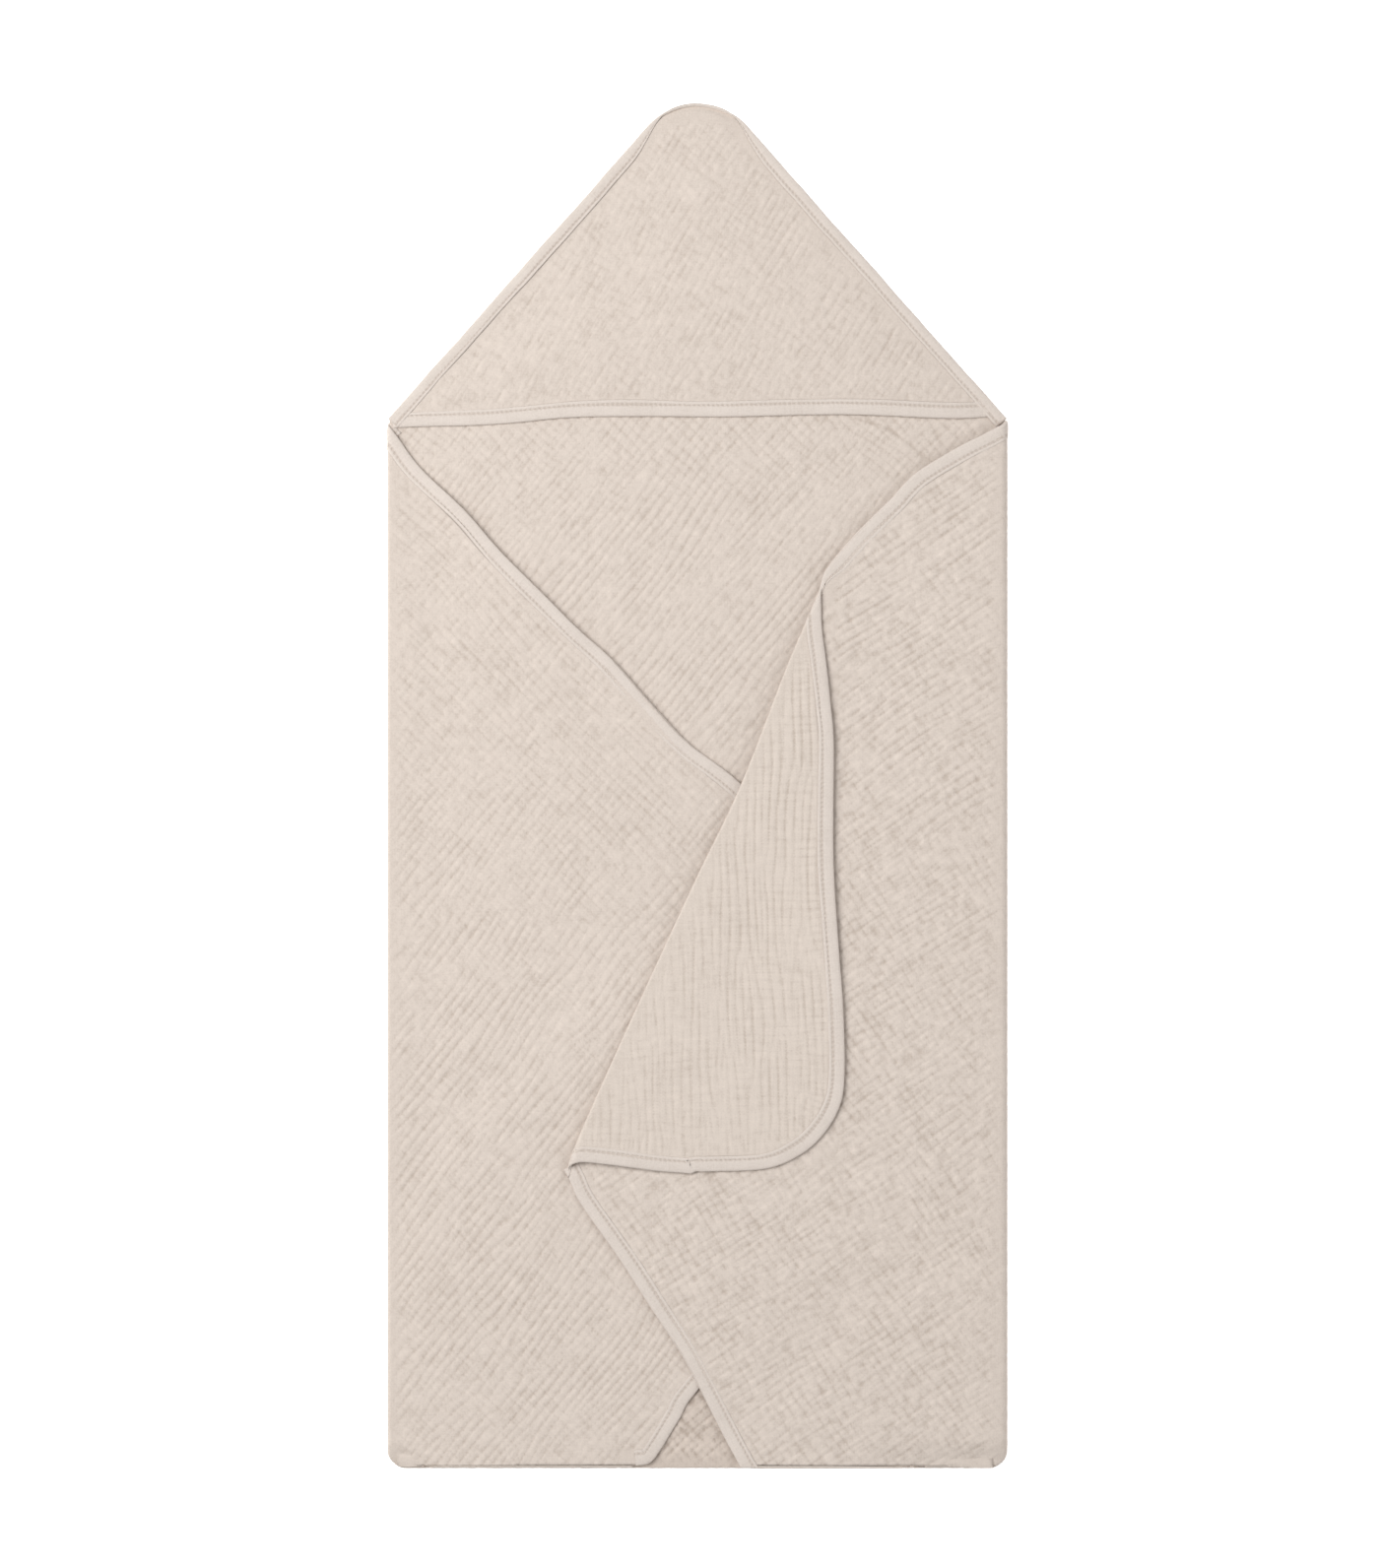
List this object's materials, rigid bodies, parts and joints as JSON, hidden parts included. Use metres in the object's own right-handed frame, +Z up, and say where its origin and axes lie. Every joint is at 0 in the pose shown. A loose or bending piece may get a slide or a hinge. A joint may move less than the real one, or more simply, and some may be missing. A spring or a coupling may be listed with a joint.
{
  "type": "hooded baby towel",
  "caption": "Square muslin baby towel with a corner hood and bound edges, shown folded: both side flaps folded in, one corner turned back.",
  "frame": {"origin": "centre of the folded towel's bounding box, on the surface that it lies on", "axes": "+Y along the towel towards the tip of the hood, +Z up out of the surface, +X to the right seen from above"},
  "size_m": [0.363, 0.8, 0.0091],
  "materials": {
    "muslin": "matte",
    "binding": "matte",
    "thread": "matte"
  },
  "bodies": {
    "root": {"back_panel": "muslin", "hood_panel": "muslin", "hood_side_binding": "binding", "hood_side_thread": "thread", "hood_mouth_binding": "binding", "hood_mouth_thread": "thread", "bottom_tuck": "muslin", "bottom_tuck_binding": "binding", "bottom_tuck_thread": "thread", "bottom_fold": "muslin", "left_flap": "muslin", "left_flap_binding": "binding", "left_flap_thread": "thread", "left_fold": "muslin", "left_wing": "muslin", "left_wing_binding": "binding", "left_wing_thread": "thread", "left_wing_side_fold": "muslin", "left_wing_hem_fold": "muslin", "right_fold": "muslin", "right_wing_side_fold": "muslin"},
    "right_flap": {"right_flap": "muslin", "right_flap_upper_binding": "binding", "right_flap_lower_binding": "binding", "right_flap_upper_thread": "thread", "right_flap_lower_thread": "thread", "right_wing": "muslin", "right_wing_binding": "binding", "right_wing_thread": "thread", "right_wing_hem_fold": "muslin", "corner_fold": "muslin"},
    "turned_corner": {"turned_corner": "muslin", "turned_corner_binding": "binding", "turned_corner_thread": "thread"}
  },
  "joints": [
    {"name": "right_flap_swing", "type": "hinge", "parent": "root", "child": "right_flap", "pos_m": [0.17765, 0, 0.00385], "axis": [0, 1, 0], "range_deg": [0, 178]},
    {"name": "corner_turn", "type": "hinge", "parent": "right_flap", "child": "turned_corner", "pos_m": [-0.0764, -0.22848, 0.0079], "axis": [-0.4008, -0.9162, 0], "range_deg": [0, 180]}
  ]
}
